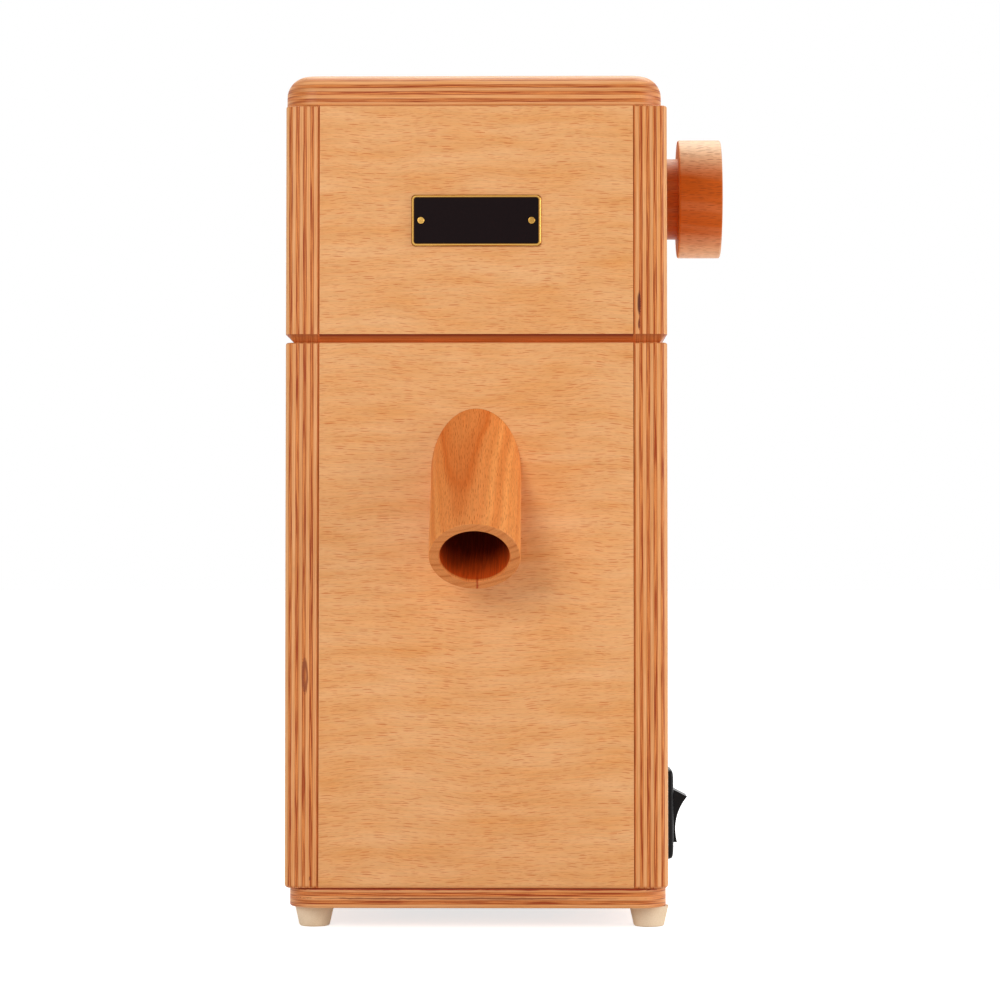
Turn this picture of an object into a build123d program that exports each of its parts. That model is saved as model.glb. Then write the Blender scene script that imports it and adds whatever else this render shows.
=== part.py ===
from build123d import *
import math
import os

# Electric grain mill in a casing of nine-ply beech: a lower box with motor and stones, a head
# with the hopper and the fineness gear, a lid, a spout at 45 degrees and a rocker switch.
# Millimetres. X to the right, Y to the back, Z up from the surface that the feet stand on.
# The sizes below are about the middle of the casing; save() moves them to the row frame.

# ------------------------------------------------------------------ row frame
origin_right = 11.7      # the origin stands this far right of the casing's middle,
origin_forward = 21.0    # and this far in front of it: the middle of the whole footprint

# ------------------------------------------------------------------ fits
glue_gap = 0.1           # wood let in between wood, each side
seat_gap = 0.02          # pressed seats, on the radius
running_gap = 0.05       # turning and sliding fits, on the radius
hole_gap = 0.05          # round pieces in drilled wood, on the radius
stone_gap = 0.3          # between the stones at the finest setting

# ------------------------------------------------------------------ casing
body_width = 145.0
body_depth = 160.0
panel = 13.0             # nine plies
corner_round = 3.6       # upright outer edges
edge_ease = 0.8
bottom_round = 1.6       # lower edges of the lower box
joint_groove = 0.9       # taken off the side panels' inner edges, a fine groove at each joint
foot_height = 7.8
base_thickness = 7.5
body_height = 206.2
head_height = 90.3
groove_chamfer = 3.2     # round the head's lower edge, makes the groove between the boxes

base_inset = 1.0         # base plate inside the casing's sides, each side
base_shift = 0.4         # the base plate sits a little to the right
plan_round = 12.0        # corners of base plate and lid in plan
foot_top_radius = 7.5
foot_bottom_radius = 5.7
foot_edge_round = 0.9
foot_left_inset = 10.7   # from the casing's sides to the feet's middle
foot_right_inset = 7.0
foot_inset = 14.0        # from the casing's front and rear to the feet's middle

lid_inset = 0.8          # lid inside the casing's sides, each side
lid_thickness = 12.4
lid_shift = -1.1         # the loose lid lies a little to the left
lid_round = 8.0          # its upper edge
batten_width = 7.5
batten_height = 6.0
batten_end = 3.5         # batten's end to the side panel
batten_play = 1.5        # between batten and panel

base_z = foot_height
body_z = base_z + base_thickness
body_top = body_z + body_height
head_top = body_top + head_height
inner_x = body_width / 2 - panel
inner_y = body_depth / 2 - panel
front_y = -body_depth / 2
lid_width = body_width - 2 * lid_inset
lid_depth = body_depth - 2 * lid_inset
base_width = body_width - 2 * base_inset
base_depth = body_depth - 2 * base_inset
batten_length = 2 * (inner_x - batten_end)

# ------------------------------------------------------------------ shaft line and chamber
shaft_set_back = 70.0    # behind the casing's front; motor, stones, knob and switch share this plane
deck_thickness = 14.0
chamber_radius = 45.0
chamber_height = 36.0
chamber_drop = 5.0       # chamber block below the top of the lower box
shaft_y = front_y + shaft_set_back
block_top = body_top - chamber_drop
chamber_floor = block_top - chamber_height
deck_z = chamber_floor - deck_thickness
channel_width = 26.0
channel_height = 28.0

# ------------------------------------------------------------------ spout
spout_slope = 45.0
spout_radius = 17.0
spout_bore = 13.0
spout_drop = 8.2         # chamber floor to where its axis meets the front of the casing
spout_reach = 45.4       # along the axis, from there to the mouth
spout_stock = 60.0       # along the axis, inwards, before the inner end is cut upright
spout_let_in = 18.0      # from the casing's front to the inner end, in chamber block and deck
spout_inlet_radius = 14.0
spout_inlet_start = 12.0   # along the axis, inwards; the bore is wider from there on
mouth_ease = 0.6
spout_axis_z = chamber_floor - spout_drop
spout_end_y = front_y + spout_let_in

# ------------------------------------------------------------------ stones
stone_radius = 37.5
stone_thickness = 16.0
runner_lift = 4.0        # lower stone above the chamber floor
runner_bore = 9.0
dish_radius = 24.0       # outer end of the feeding dish in both stones
dish_depth = 6.0
eye_radius = 15.0        # hole of the upper stone
nut_land = 14.0          # flat round the nut in the lower stone
furrow_count = 12
furrow_start = 19.0      # in the dish
furrow_end = 34.0        # short of the rim, which keeps a plain land
furrow_width = 3.0
furrow_depth = 1.0
furrow_offset = 6.0      # furrows run beside the radius, not on it

# ------------------------------------------------------------------ upper stone carrier
carrier_radius = 47.5
carrier_thickness = 5.0
cup_wall = 3.0
cup_depth = 5.0
ear_circle_radius = 52.0
ear_radius = 6.0
ear_angles = (90, 210, 330)
pin_radius = 2.5
pin_depth = 16.0         # of a guide pin in the chamber block
pin_head_radius = 4.0
pin_head = 2.5
spring_radius = 3.7
spring_wire = 1.0
spring_turns = 3.5
spring_pocket = 10.0
spring_seat = 0.12       # at both ends of a spring

# ------------------------------------------------------------------ fineness gear
knob_drop = 28.2         # knob's axis below the top of the head
knob_radius = 23.6
knob_length = 17.0
knob_edge = 0.7
neck_radius = 16.1
neck_length = 5.0
bush_radius = 8.0
bush_flange_radius = 11.0
bush_flange = 1.6
spindle_radius = 5.0
spindle_in_knob = 16.0
spindle_end = 1.0        # spindle beyond the cam
cam_radius = 12.0        # at the finest setting
cam_lift = 1.2           # over the whole turn of the knob
cam_turn = 300.0
cam_dwell = 15.0
cam_points = 15
cam_thickness = 4.0
cam_set_in = 8.0         # cam's inner face to the side panel
cam_hub_radius = 7.0
cam_pin_radius = 1.2
cam_pin_short = 0.2      # pin's ends inside the hub
cam_clearance = 0.1
yoke_width = 16.0
yoke_ring_radius = 29.0
yoke_ring_bore = 19.0
yoke_thickness = 4.0
yoke_rib = 4.0
yoke_rib_rise = 20.0
yoke_screw_circle_radius = 24.0
yoke_screw_angles = (60, 180, 300)
knob_z = head_top - knob_drop
cam_inner_x = inner_x - cam_set_in

# ------------------------------------------------------------------ hopper
post_width = 11.0        # corner posts of the head
rim_drop = 7.2           # rim board below the top of the head
rim_thickness = 5.0
mouth_margin_x = 9.5     # mouth to the cam
mouth_margin_y = 9.0     # mouth to the nearer end panel
board_thickness = 5.0
throat_half = 13.5       # square lower end of the boards
throat_bore = 13.0
throat_flange = 2.8
throat_flange_radius = 27.5
throat_spigot_radius = 14.4
throat_spigot = 8.6
throat_clearance = 0.7   # throat ring above the lifted yoke
rim_z = head_top - rim_drop - rim_thickness
mouth_half_x = cam_inner_x - mouth_margin_x
mouth_half_y = min(shaft_y - front_y - panel, inner_y - shaft_y) - mouth_margin_y

# ------------------------------------------------------------------ motor
motor_radius = 52.0
motor_wall = 2.0
motor_height = 80.0
bell_plate = 4.0
bell_boss_radius = 20.0
bell_boss = 6.0          # of boss and feet beyond the plate
bell_spigot = 4.0
bell_foot_radius = 6.0
bell_vents = 6
bell_vent_radius = 5.0
bell_vent_circle_radius = 36.0
bolt_circle_radius = 42.0
bolt_angles = (45, 135, 225, 315)
bolt_radius = 2.5
bolt_head_radius = 4.6
bearing_radius = 16.0
bearing_width = 9.0
bearing_ring = 3.0
journal_radius = 7.5
shaft_radius = 9.0
stator_bore = 28.3
stator_height = 50.0
air_gap = 0.3
winding_inner = 33.0
winding_outer = 45.0
winding_height = 10.0
winding_room = 1.0       # round the windings and round the shaft in the bells
fan_radius = 42.0
fan_height = 10.0
fan_hub_radius = 10.0
fan_seat_radius = 6.0
fan_plate = 1.0          # disc above the blades
fan_blades = 8
blade_thickness = 1.6
blade_inset = 1.0        # blades inside the disc's rim and in the hub
fan_gap = 2.0            # between fan and motor
shaft_thread_radius = 5.0
thread_end = 1.0         # thread beyond the nut, and below the hub's top
hub_seat_radius = 7.0
hub_thickness = 2.5
hub_radius = 36.0
hub_lift = 1.5           # sweeper above the chamber floor
wing_reach = 43.5
wing_width = 4.0
wing_height = 8.0
wing_root = 2.0          # wing let into the hub's disc
wing_room = 0.5          # wing beside the stone's rim
nut_across_flats = 16.0
nut_height = 8.0
nut_flange = 1.5
nut_room = 0.5           # flange inside the stone's flat
nut_grip = 0.1           # hub's top below the nut, so that the nut holds the stone
seal_radius = 12.0
seal_height = 12.0

motor_top = deck_z - bell_boss - bell_plate
motor_z = motor_top - motor_height

# ------------------------------------------------------------------ base compartment
body_post = 12.0
capacitor_radius = 14.0
capacitor_height = 34.0
capacitor_margin_x = 24.5  # from the panels to its middle
capacitor_margin_y = 23.0
capacitor_tab = 4.0
vent_count = 7
vent_length = 60.0
vent_width = 5.0
vent_pitch = 10.0

# ------------------------------------------------------------------ switch
switch_rise = 23.25      # switch's middle above the lower edge of the casing
bezel_height = 35.1
bezel_slope = 4.6        # of its upper and lower end, out to the face
bezel_width = 24.0
bezel_thickness = 3.9
bezel_corner = 2.5
bezel_ease = 0.5
switch_body_height = 30.0
switch_body_width = 20.0
switch_depth = 20.0
window_half_z = 12.2
window_half_y = 8.2
window_depth = 10.5      # behind the casing's side
rocker_width = 16.0
rocker_pivot_in = 2.0    # pivot axis behind the casing's side
rocker_tip_out = 10.2    # from the pivot axis to a tip, level rocker
rocker_tip_half = 9.2
rocker_dish_out = 7.9    # middle of the hollow face
rocker_foot_out = 3.4
rocker_foot_half = 11.0
rocker_root_half = 7.0
rocker_root_in = 3.0
rocker_tilt = 12.5       # each way from level
trunnion_radius = 1.5
trunnion_length = 1.5
tab_width = 6.3
tab_thickness = 0.8
tab_length = 8.0
tab_pitch = 9.0
switch_z = body_z + switch_rise

# ------------------------------------------------------------------ cord bush
cord_bush_margin = 29.5  # from the right panel to its middle
cord_bush_rise = 19.3    # above the lower edge of the casing
cord_bush_radius = 8.0
cord_bush_bore = 3.6
cord_bush_flange_radius = 11.0
cord_bush_flange = 2.0
cord_bush_x = inner_x - cord_bush_margin
cord_bush_z = body_z + cord_bush_rise

# ------------------------------------------------------------------ name plate
plate_width = 49.3
plate_height = 19.6
plate_thickness = 0.9
plate_bevel = 0.4
plate_corner = 1.5
plate_drop = 44.0        # its middle below the top of the head
plate_rim = 1.0
plate_field_depth = 0.15
plate_screw_x = 21.0
plate_screw_radius = 0.75
plate_screw_head = 1.35
plate_screw_head_height = 0.7
plate_screw_length = 8.0
plate_z = head_top - plate_drop

# ------------------------------------------------------------------ wood screws
screw_radius = 2.0
screw_head_radius = 3.6
screw_head = 2.2
foot_screw_length = 13.0
foot_counterbore = 3.0
base_screw_length = 24.0
deck_screw_length = 34.0
head_screw_grip = 19.0   # in the chamber block
head_screw_recess = 4.0
head_screw_length = rim_z - head_screw_recess - block_top + head_screw_grip


def block(x, y, z):
    """A box between two limits on each axis."""
    low = [min(pair) for pair in (x, y, z)]
    high = [max(pair) for pair in (x, y, z)]
    middle = [(a + b) / 2 for a, b in zip(low, high)]
    return Pos(*middle) * Box(*[b - a for a, b in zip(low, high)])


def rod(radius, z, x=0.0, y=0.0):
    """An upright round bar between two heights."""
    return Pos(x, y, (z[0] + z[1]) / 2) * Cylinder(radius, z[1] - z[0])


def rod_x(radius, x, y, z):
    """A round bar along X between two limits."""
    return Pos((x[0] + x[1]) / 2, y, z) * Rot(0, 90, 0) * Cylinder(radius, x[1] - x[0])


def rod_y(radius, x, y, z):
    """A round bar along Y between two limits."""
    return Pos(x, (y[0] + y[1]) / 2, z) * Rot(90, 0, 0) * Cylinder(radius, y[1] - y[0])


def turned(points, x=0.0, y=0.0):
    """A turned piece about an upright axis, from its outline of (radius, height) corners."""
    outline = Polyline(*[(r, 0, z) for r, z in points], close=True)
    return Pos(x, y, 0) * revolve(make_face(outline.edges()), Axis.Z)


def turned_x(points, y, z):
    """A turned piece about an axis along X, from its outline of (radius, x) corners."""
    outline = Polyline(*[(x, 0, r) for r, x in points], close=True)
    return Pos(0, y, z) * revolve(make_face(outline.edges()), Axis.X)


def extruded_xz(points, y):
    """A flat outline of (x, z) corners carried along Y between two limits."""
    outline = Polyline(*[(x, y[0], z) for x, z in points], close=True)
    return extrude(make_face(outline.edges()), amount=y[1] - y[0], dir=(0, 1, 0))


def polar(radius, angle, y=shaft_y):
    """A place on a circle round the shaft line."""
    turn = math.radians(angle)
    return radius * math.cos(turn), y + radius * math.sin(turn)


def countersunk(x, y, z, length, up=1, radius=screw_radius, head=screw_head_radius):
    """A screw with a cone head flush at z, which runs up or down from there."""
    shank = rod(radius, sorted((z, z + up * length)), x, y)
    neck_z = z + up * screw_head
    return shank + turned([(0, z), (head, z), (radius, neck_z), (0, neck_z)], x, y)


def countersunk_hole(x, y, z, length, up=1, radius=screw_radius, head=screw_head_radius):
    """The hole that a countersunk screw lies in, larger all round by the hole gap."""
    start = z - up * hole_gap
    neck_z = z + up * screw_head
    bore = radius + hole_gap
    mouth = head + hole_gap
    shank = rod(bore, sorted((start, z + up * (length + hole_gap))), x, y)
    return shank + turned([(0, start), (mouth, start), (mouth, z), (bore, neck_z), (0, neck_z)], x, y)


def spout_bar(radius, start, end):
    """A round bar on the spout's axis; distances run outwards from the casing's front."""
    bar = Pos(0, 0, (start + end) / 2) * Cylinder(radius, end - start)
    return Pos(0, front_y, spout_axis_z) * Rot(90 + spout_slope, 0, 0) * bar


def group(pieces):
    """Separate solids kept together as one node."""
    return Compound([solid for piece in pieces for solid in piece.solids()])


def save(name, shape):
    """Move a piece to the row frame and write it."""
    moved = Pos(-origin_right, origin_forward, 0) * shape
    export_step(moved, f"parts/{name}.step")


# ------------------------------------------------------------------ places used by several pieces
foot_columns = (-body_width / 2 + foot_left_inset, body_width / 2 - foot_right_inset)
foot_places = [(x, side * (body_depth / 2 - foot_inset)) for x in foot_columns for side in (-1, 1)]
body_post_places = [
    (sx * (inner_x - body_post / 2), sy * (inner_y - body_post / 2)) for sx in (-1, 1) for sy in (-1, 1)
]
head_post_places = [
    (sx * (inner_x - post_width / 2), sy * (inner_y - post_width / 2)) for sx in (-1, 1) for sy in (-1, 1)
]
ear_places = [polar(ear_circle_radius, angle) for angle in ear_angles]
bolt_places = [polar(bolt_circle_radius, angle) for angle in bolt_angles]
foot_screw_z = foot_counterbore - screw_head


# ------------------------------------------------------------------ casing
def rim_edges(board, height):
    """The edges of a panel's end at a height, without the ones that lie inside the box."""

    def outside(edge):
        middle = edge.center()
        level = abs(middle.Z - height) < 0.01
        return level and (abs(middle.X) > inner_x + 0.01 or abs(middle.Y) > body_depth / 2 - 0.01)

    return board.edges().filter_by(outside)


def side_panel(side, z):
    """A side panel of full depth with its two upright outer edges rounded."""
    board = block((side * inner_x, side * body_width / 2), (front_y, -front_y), z)
    upright = board.edges().filter_by(Axis.Z)
    outer = upright.filter_by(lambda edge: abs(edge.center().X) > body_width / 2 - 0.01)
    return fillet(outer, corner_round)


def joint_cuts(side, z):
    """What the fine grooves beside the front and rear panel take off a side panel."""
    cuts = []
    for end in (-1, 1):
        face = end * body_depth / 2
        corners = [
            (side * inner_x, face),
            (side * (inner_x + joint_groove), face),
            (side * inner_x, face - end * joint_groove),
        ]
        outline = Polyline(*[(x, y, z[0]) for x, y in corners], close=True)
        cuts.append(extrude(make_face(outline.edges()), amount=z[1] - z[0], dir=(0, 0, 1)))
    return cuts


def end_panel(side, z):
    """A front or rear panel, set between the side panels."""
    return block((-inner_x, inner_x), (side * inner_y, side * body_depth / 2), z)


def body_panel(board):
    """Round the lower edge of a panel of the lower box and ease its upper edge."""
    board = fillet(rim_edges(board, body_z), bottom_round)
    return fillet(rim_edges(board, body_top), edge_ease)


def head_panel(board):
    """Chamfer the lower edge of a panel of the head and ease its upper edge."""
    board = chamfer(rim_edges(board, body_top), groove_chamfer)
    return fillet(rim_edges(board, head_top), edge_ease)


def casing():
    """The eight panels with their openings."""
    body = (body_z, body_top)
    head = (body_top, head_top)
    sides = {}
    head_sides = {}
    for name, side in (("left", -1), ("right", 1)):
        sides[name] = body_panel(side_panel(side, body)) - joint_cuts(side, body)
        head_sides[name] = head_panel(side_panel(side, head)) - joint_cuts(side, head)
    sides["right"] -= block(
        (inner_x, body_width / 2),
        (shaft_y - switch_body_width / 2 - glue_gap, shaft_y + switch_body_width / 2 + glue_gap),
        (switch_z - switch_body_height / 2 - glue_gap, switch_z + switch_body_height / 2 + glue_gap),
    )
    front = body_panel(end_panel(-1, body)) - spout_bar(spout_radius + hole_gap, -spout_stock, spout_stock)
    rear = body_panel(end_panel(1, body))
    rear -= rod_y(cord_bush_radius + hole_gap, cord_bush_x, (inner_y, body_depth / 2), cord_bush_z)
    save("body_left_panel", sides["left"])
    save("body_right_panel", sides["right"])
    save("body_front_panel", front)
    save("body_rear_panel", rear)

    head_sides["right"] -= rod_x(bush_radius + hole_gap, (inner_x, body_width / 2), shaft_y, knob_z)
    head_front = head_panel(end_panel(-1, head))
    for side in (-1, 1):
        depth = front_y + plate_screw_length
        head_front -= rod_y(plate_screw_radius + hole_gap, side * plate_screw_x, (front_y, depth), plate_z)
    save("head_left_panel", head_sides["left"])
    save("head_right_panel", head_sides["right"])
    save("head_front_panel", head_front)
    save("head_rear_panel", head_panel(end_panel(1, head)))


def rounded_board(width, depth, z, shift, upper_round):
    """A flat board with round corners in plan and rounded upper and eased lower edges."""
    board = Pos(shift, 0, 0) * block((-width / 2, width / 2), (-depth / 2, depth / 2), z)
    board = fillet(board.edges().filter_by(Axis.Z), plan_round)
    board = fillet(board.edges().group_by(Axis.Z)[-1], upper_round)
    return fillet(board.edges().group_by(Axis.Z)[0], edge_ease)


def base():
    """Base plate with vent slots, its screws, the corner posts above it and the feet below."""
    plate = rounded_board(base_width, base_depth, (base_z, body_z), base_shift, edge_ease)
    for number in range(vent_count):
        x = (number - (vent_count - 1) / 2) * vent_pitch
        y = (shaft_y - vent_length / 2, shaft_y + vent_length / 2)
        slot = block((x - vent_width / 2, x + vent_width / 2), y, (base_z, body_z))
        plate -= slot
    posts = []
    screws = []
    for x, y in body_post_places:
        half = body_post / 2
        post = block((x - half, x + half), (y - half, y + half), (body_z, deck_z))
        post -= countersunk_hole(x, y, base_z, base_screw_length)
        post -= countersunk_hole(x, y, chamber_floor, deck_screw_length, up=-1)
        posts.append(post)
        plate -= countersunk_hole(x, y, base_z, base_screw_length)
        screws.append(countersunk(x, y, base_z, base_screw_length))
    feet = []
    foot_screws = []
    for x, y in foot_places:
        plate -= countersunk_hole(x, y, foot_screw_z, foot_screw_length)
        foot = turned(
            [(0, 0), (foot_bottom_radius, 0), (foot_top_radius, foot_height), (0, foot_height)], x, y
        )
        foot = fillet(foot.edges().group_by(Axis.Z)[0], foot_edge_round)
        foot -= rod(screw_head_radius + hole_gap, (0, foot_screw_z), x, y)
        foot -= countersunk_hole(x, y, foot_screw_z, foot_screw_length)
        feet.append(foot)
        foot_screws.append(countersunk(x, y, foot_screw_z, foot_screw_length))
    save("base_plate", plate)
    save("base_screws", group(screws))
    save("body_corner_posts", group(posts))
    save("rubber_feet", group(feet))
    save("foot_screws", group(foot_screws))


def lid():
    """The lid board and the two battens that keep it in place."""
    board = rounded_board(lid_width, lid_depth, (head_top, head_top + lid_thickness), lid_shift, lid_round)
    battens = []
    for side in (-1, 1):
        outer = inner_y - batten_play
        y = (side * (outer - batten_width), side * outer)
        x = (lid_shift - batten_length / 2, lid_shift + batten_length / 2)
        battens.append(block(x, y, (head_top - batten_height, head_top)))
    save("lid_board", board)
    save("lid_battens", group(battens))


# ------------------------------------------------------------------ deck, chamber and spout
def spout_seat():
    """The room that the spout's inner end takes in deck and chamber block."""
    room = spout_bar(spout_radius + hole_gap, -spout_stock, spout_stock)
    half = 2 * spout_radius
    keep = block((-half, half), (front_y, spout_end_y + hole_gap), (body_z, body_top))
    return room & keep


def inner_board(z):
    """A board that fills the lower box from wall to wall."""
    half_x = inner_x - glue_gap
    half_y = inner_y - glue_gap
    return block((-half_x, half_x), (-half_y, half_y), z)


def spout():
    """Turned tube, cut square at the mouth and upright at the inner end, with a wider inlet."""
    start = -spout_stock
    tube = Cylinder(spout_radius, spout_reach - start) - Cylinder(spout_bore, spout_reach - start)
    mouth = tube.edges().filter_by(GeomType.CIRCLE).group_by(Axis.Z)[-1]
    tube = Pos(0, 0, (start + spout_reach) / 2) * fillet(mouth, mouth_ease)
    inlet = Cylinder(spout_inlet_radius, spout_stock - spout_inlet_start)
    tube -= Pos(0, 0, -(spout_stock + spout_inlet_start) / 2) * inlet
    tube = Pos(0, front_y, spout_axis_z) * Rot(90 + spout_slope, 0, 0) * tube
    half = 2 * spout_radius
    keep = block((-half, half), (2 * front_y, spout_end_y), (body_z, body_top))
    save("spout", tube & keep)


def deck():
    """Deck under the chamber, with the seat of the shaft seal and the countersunk bolts."""
    board = inner_board((deck_z, chamber_floor)) - spout_seat()
    board -= rod(seal_radius + hole_gap, (deck_z, chamber_floor), 0, shaft_y)
    screws = []
    for x, y in body_post_places:
        board -= countersunk_hole(x, y, chamber_floor, deck_screw_length, up=-1)
        screws.append(countersunk(x, y, chamber_floor, deck_screw_length, up=-1))
    bolts = []
    for x, y in bolt_places:
        depth = deck_thickness + bell_boss + bell_plate
        board -= countersunk_hole(x, y, chamber_floor, depth, -1, bolt_radius, bolt_head_radius)
        bolts.append(countersunk(x, y, chamber_floor, depth, -1, bolt_radius, bolt_head_radius))
    seal = turned(
        [
            (journal_radius + running_gap, chamber_floor - seal_height),
            (seal_radius, chamber_floor - seal_height),
            (seal_radius, chamber_floor),
            (journal_radius + running_gap, chamber_floor),
        ],
        0,
        shaft_y,
    )
    save("motor_deck", board)
    save("deck_screws", group(screws))
    save("motor_bolts", group(bolts))
    save("shaft_seal", seal)


def chamber():
    """Block with the round grinding chamber, the channel to the spout and the spring pockets."""
    body = inner_board((chamber_floor, block_top)) - spout_seat()
    body -= rod(chamber_radius, (chamber_floor, block_top), 0, shaft_y)
    body -= block(
        (-channel_width / 2, channel_width / 2),
        (spout_end_y, shaft_y),
        (chamber_floor, chamber_floor + channel_height),
    )
    for x, y in ear_places:
        body -= rod(spring_radius + spring_wire, (block_top - spring_pocket, block_top), x, y)
        body -= rod(pin_radius + seat_gap, (block_top - pin_depth, block_top), x, y)
    for x, y in head_post_places:
        tip = rim_z - head_screw_recess - head_screw_length
        body -= rod(screw_radius + hole_gap, (tip, block_top), x, y)
    save("chamber_block", body)


# ------------------------------------------------------------------ stones and their carrier
runner_z = chamber_floor + runner_lift
runner_top = runner_z + stone_thickness
upper_z = runner_top + stone_gap
carrier_z = upper_z + stone_thickness
carrier_top = carrier_z + carrier_thickness
throat_z = carrier_top + yoke_thickness + cam_lift + throat_clearance + throat_flange


def furrows(face_z):
    """Straight grooves laid slantwise round a stone's flat grinding face."""
    cuts = []
    for number in range(furrow_count):
        groove = block(
            (furrow_start, furrow_end),
            (furrow_offset - furrow_width / 2, furrow_offset + furrow_width / 2),
            (face_z - furrow_depth, face_z + furrow_depth),
        )
        cuts.append(Pos(0, shaft_y, 0) * Rot(0, 0, 360 * number / furrow_count) * groove)
    return cuts


def stones():
    """Lower stone that turns, and upper stone with the eye that the grain falls through."""
    lower = turned(
        [
            (runner_bore + seat_gap, runner_z),
            (stone_radius, runner_z),
            (stone_radius, runner_top),
            (dish_radius, runner_top),
            (nut_land, runner_top - dish_depth),
            (runner_bore + seat_gap, runner_top - dish_depth),
        ],
        0,
        shaft_y,
    )
    upper = turned(
        [
            (eye_radius, upper_z + dish_depth),
            (dish_radius, upper_z),
            (stone_radius, upper_z),
            (stone_radius, carrier_z),
            (eye_radius, carrier_z),
        ],
        0,
        shaft_y,
    )
    for cut in furrows(runner_top):
        lower -= cut
    for cut in furrows(upper_z):
        upper -= cut
    save("lower_stone", lower)
    save("upper_stone", upper)


def carrier():
    """Cup that holds the upper stone, with three ears on the guide pins, and their springs."""
    cup = turned(
        [
            (eye_radius, carrier_z),
            (stone_radius + seat_gap, carrier_z),
            (stone_radius + seat_gap, carrier_z - cup_depth),
            (stone_radius + cup_wall, carrier_z - cup_depth),
            (stone_radius + cup_wall, carrier_z),
            (carrier_radius, carrier_z),
            (carrier_radius, carrier_top),
            (eye_radius, carrier_top),
        ],
        0,
        shaft_y,
    )
    pins = []
    springs = []
    for x, y in ear_places:
        cup += rod(ear_radius, (carrier_z, carrier_top), x, y)
    for x, y in ear_places:
        cup -= rod(pin_radius + running_gap, (carrier_z, carrier_top), x, y)
        neck = carrier_top + cam_lift + hole_gap * 2
        pins.append(
            rod(pin_radius, (block_top - pin_depth, neck + pin_head), x, y)
            + rod(pin_head_radius, (neck, neck + pin_head), x, y)
        )
        springs.append(coil_spring(x, y, (block_top - spring_pocket, carrier_z)))
    for angle in yoke_screw_angles:
        x, y = polar(yoke_screw_circle_radius, angle)
        cup -= countersunk_hole(x, y, carrier_top + yoke_thickness, yoke_thickness + carrier_thickness, up=-1)
    save("stone_carrier", cup)
    save("guide_pins", group(pins))
    save("carrier_springs", group(springs))


def coil_spring(x, y, z):
    """A compression spring of square wire on a helix, between two seats."""
    rise = z[1] - z[0] - spring_wire - 2 * spring_seat
    path = Helix(pitch=rise / spring_turns, height=rise, radius=spring_radius)
    start = Plane(origin=path @ 0, x_dir=(1, 0, 0), z_dir=path % 0)
    wire = sweep(start * Rectangle(spring_wire, spring_wire), path=path, is_frenet=True)
    return Pos(x, y, z[0] + spring_wire / 2 + spring_seat) * wire


# ------------------------------------------------------------------ fineness gear
neck_x = body_width / 2 + bush_flange + 2 * glue_gap
knob_x = neck_x + neck_length
cam_x = cam_inner_x + cam_thickness


def knob():
    """Turned wooden knob with its neck, on the steel spindle that runs in the bush."""
    bore = spindle_radius + seat_gap
    depth = neck_x + spindle_in_knob
    turned_knob = turned_x(
        [
            (bore, neck_x),
            (neck_radius, neck_x),
            (neck_radius, knob_x),
            (knob_radius, knob_x),
            (knob_radius, knob_x + knob_length),
            (0, knob_x + knob_length),
            (0, depth + seat_gap),
            (bore, depth + seat_gap),
        ],
        shaft_y,
        knob_z,
    )
    rims = turned_knob.edges().filter_by(
        lambda edge: edge.center().X > knob_x - 0.01 and edge.bounding_box().size.Z > 2 * knob_radius - 0.1
    )
    turned_knob = fillet(rims, knob_edge)
    pin_x = (cam_x + inner_x) / 2
    spindle = rod_x(spindle_radius, (cam_inner_x - spindle_end, depth), shaft_y, knob_z)
    through = (shaft_y - cam_radius, shaft_y + cam_radius)
    pin_hole = rod_y(cam_pin_radius + seat_gap, pin_x, through, knob_z)
    reach = cam_hub_radius - cam_pin_short
    pin = rod_y(cam_pin_radius, pin_x, (shaft_y - reach, shaft_y + reach), knob_z)
    bush = turned_x(
        [
            (spindle_radius + running_gap, inner_x),
            (bush_radius, inner_x),
            (bush_radius, body_width / 2),
            (bush_flange_radius, body_width / 2),
            (bush_flange_radius, body_width / 2 + bush_flange),
            (spindle_radius + running_gap, body_width / 2 + bush_flange),
        ],
        shaft_y,
        knob_z,
    )
    save("fineness_knob", turned_knob)
    save("knob_spindle", spindle - pin_hole)
    save("cam_pin", pin)
    save("spindle_bush", bush)
    save("fineness_cam", snail_cam() - pin_hole)


def snail_cam():
    """Cam whose radius falls evenly with the angle, so each degree of the knob lifts the
    stone by the same amount; a flat closes the spiral."""
    swept = cam_turn + cam_dwell
    corners = []
    for number in range(cam_points):
        angle = swept * number / (cam_points - 1)
        radius = cam_radius - cam_lift * angle / cam_turn
        turn = math.radians(angle)
        corners.append((cam_inner_x, radius * math.sin(turn), -radius * math.cos(turn)))
    edge = Spline(*corners) + Line(corners[-1], corners[0])
    disc = extrude(make_face(edge.edges()), amount=cam_thickness, dir=(1, 0, 0))
    disc = Pos(0, shaft_y, knob_z) * disc
    disc += rod_x(cam_hub_radius, (cam_x, inner_x - 2 * running_gap), shaft_y, knob_z)
    bore = (cam_inner_x, inner_x)
    return disc - rod_x(spindle_radius + seat_gap, bore, shaft_y, knob_z)


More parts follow.
